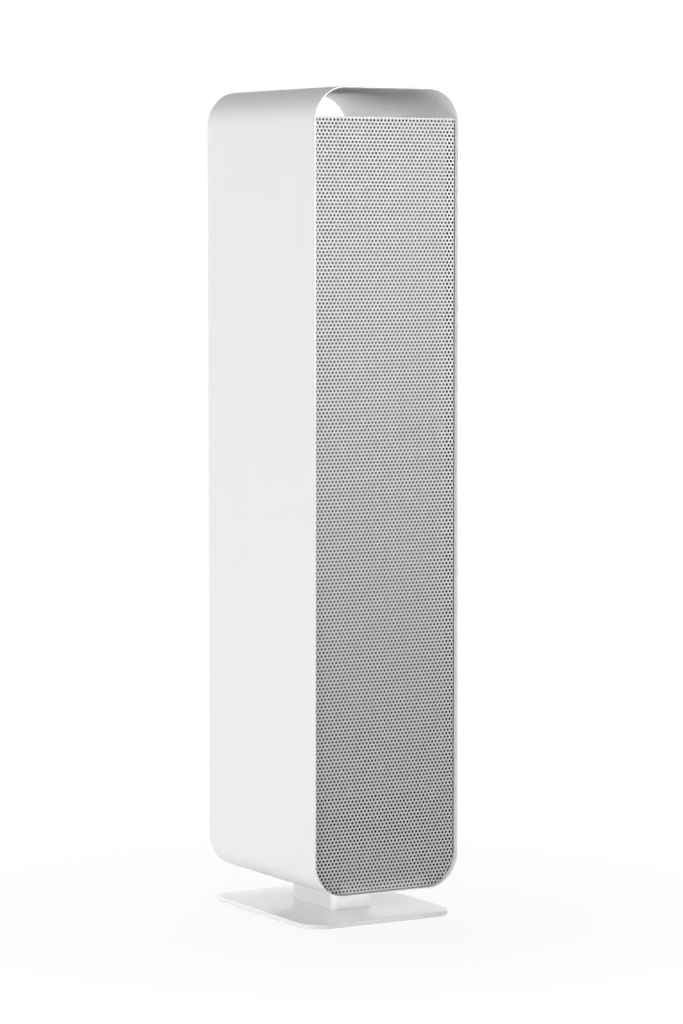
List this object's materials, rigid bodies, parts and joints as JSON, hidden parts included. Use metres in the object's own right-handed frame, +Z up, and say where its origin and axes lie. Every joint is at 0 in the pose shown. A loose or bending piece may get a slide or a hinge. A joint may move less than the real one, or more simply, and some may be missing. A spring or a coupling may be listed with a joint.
{
  "type": "air purifier",
  "caption": "Tower air purifier: rounded sheet-metal sleeve with a see-through handle arch, perforated pull-off front grille, filter stack and fans, on a pedestal and flat base plate.",
  "frame": {"origin": "on the floor under the centre of the base plate", "axes": "+Z up; -Y towards the perforated front, +X to the right when facing the front"},
  "size_m": [0.208, 0.265, 1.0065],
  "materials": {
    "sleeve_paint": "fine white powder coat",
    "grille_paint": "satin silver-grey coat on perforated sheet",
    "foot_paint": "gloss white coat",
    "chassis_steel": "galvanised sheet",
    "magnet_rubber": "magnetic rubber",
    "filter_fleece": "white fleece",
    "filter_frame": "moulded frame",
    "filter_media": "pleated fibre paper",
    "carbon": "carbon granules",
    "gasket_foam": "closed-cell foam",
    "fan_plastic": "glass-filled moulding",
    "motor_can": "die-cast",
    "shaft_steel": "ground steel",
    "control_plastic": "dark moulded panel",
    "button_plastic": "satin grey moulding",
    "lens_plastic": "translucent light bar",
    "circuit_board": "solder mask",
    "switch_plastic": "black moulding",
    "supply_case": "black coat on a folded cover",
    "inlet_plastic": "black moulding",
    "pin_brass": "nickelled pins",
    "sensor_plastic": "grey moulding",
    "pad_rubber": "soft rubber",
    "bolt_steel": "zinc-plated"
  },
  "bodies": {
    "cabinet": {"outer_sleeve": "sleeve_paint", "rear_grille": "grille_paint", "service_panel": "grille_paint", "top_deck": "sleeve_paint", "bay_shelf": "chassis_steel", "chassis_tray": "chassis_steel", "fan_bulkhead": "chassis_steel", "top_magnet_strip": "magnet_rubber", "bottom_magnet_strip": "magnet_rubber", "prefilter": "filter_fleece", "hepa_frame": "filter_frame", "hepa_media": "filter_media", "carbon_filter": "carbon", "filter_gasket": "gasket_foam", "fan_standoffs": "bolt_steel", "control_panel": "control_plastic", "indicator_lens": "lens_plastic", "tact_switches": "switch_plastic", "control_board": "circuit_board", "power_supply": "supply_case", "main_board": "circuit_board", "board_posts": "bolt_steel", "power_inlet": "inlet_plastic", "inlet_pins": "pin_brass", "air_sensor": "sensor_plastic", "pedestal": "foot_paint", "base_plate": "foot_paint", "foot_pads": "pad_rubber", "foot_bolts": "bolt_steel", "lower_inlet_ring": "fan_plastic", "lower_fan_motor": "motor_can", "lower_motor_bracket": "chassis_steel", "upper_inlet_ring": "fan_plastic", "upper_fan_motor": "motor_can", "upper_motor_bracket": "chassis_steel"},
    "front_panel": {"front_grille": "grille_paint"},
    "lower_rotor": {"lower_impeller": "fan_plastic", "lower_fan_shaft": "shaft_steel"},
    "upper_rotor": {"upper_impeller": "fan_plastic", "upper_fan_shaft": "shaft_steel"},
    "power_key": {"power_button": "button_plastic"},
    "speed_key": {"speed_button": "button_plastic"},
    "mode_key": {"mode_button": "button_plastic"}
  },
  "joints": [
    {"name": "front_panel_pull", "type": "slide", "parent": "cabinet", "child": "front_panel", "axis": [0, -1, 0], "range_m": [0, 0.06]},
    {"name": "lower_fan_spin", "type": "hinge", "parent": "cabinet", "child": "lower_rotor", "pos_m": [0, 0.02, 0.362], "axis": [0, 1, 0], "continuous": true},
    {"name": "upper_fan_spin", "type": "hinge", "parent": "cabinet", "child": "upper_rotor", "pos_m": [0, 0.02, 0.767], "axis": [0, 1, 0], "continuous": true},
    {"name": "power_press", "type": "slide", "parent": "cabinet", "child": "power_key", "axis": [0, 0, -1], "range_m": [0, 0.001], "stiffness_N_per_m": 600, "springref_m": -0.001},
    {"name": "speed_press", "type": "slide", "parent": "cabinet", "child": "speed_key", "axis": [0, 0, -1], "range_m": [0, 0.001], "stiffness_N_per_m": 600, "springref_m": -0.001},
    {"name": "mode_press", "type": "slide", "parent": "cabinet", "child": "mode_key", "axis": [0, 0, -1], "range_m": [0, 0.001], "stiffness_N_per_m": 600, "springref_m": -0.001}
  ]
}
